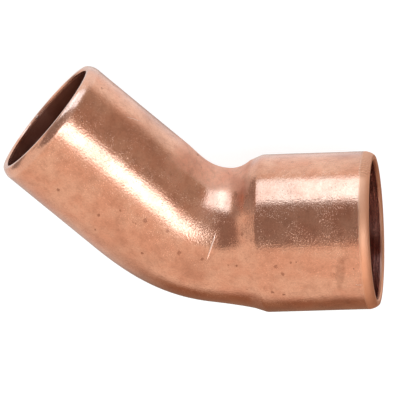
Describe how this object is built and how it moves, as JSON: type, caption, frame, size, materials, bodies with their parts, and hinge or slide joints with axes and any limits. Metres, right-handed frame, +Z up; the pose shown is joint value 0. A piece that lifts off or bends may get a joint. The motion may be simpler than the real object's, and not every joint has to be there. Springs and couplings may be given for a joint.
{
  "type": "pipe elbow",
  "caption": "Copper 45 degree street elbow: a bent tube with a plain spigot at one end and an expanded solder cup at the other.",
  "frame": {"origin": "middle of the underside of the bounding box, with the fitting lying on its side", "axes": "+X is the cup's axis, pointing out of its mouth; the plane of the bend is horizontal, and the spigot points 45 degrees from -X towards +Y; +Z up"},
  "size_m": [0.042, 0.0296, 0.018],
  "materials": {
    "copper": "bare drawn copper, semi-bright, lightly tarnished"
  },
  "bodies": {
    "root": {"elbow_body": "copper"}
  },
  "joints": []
}
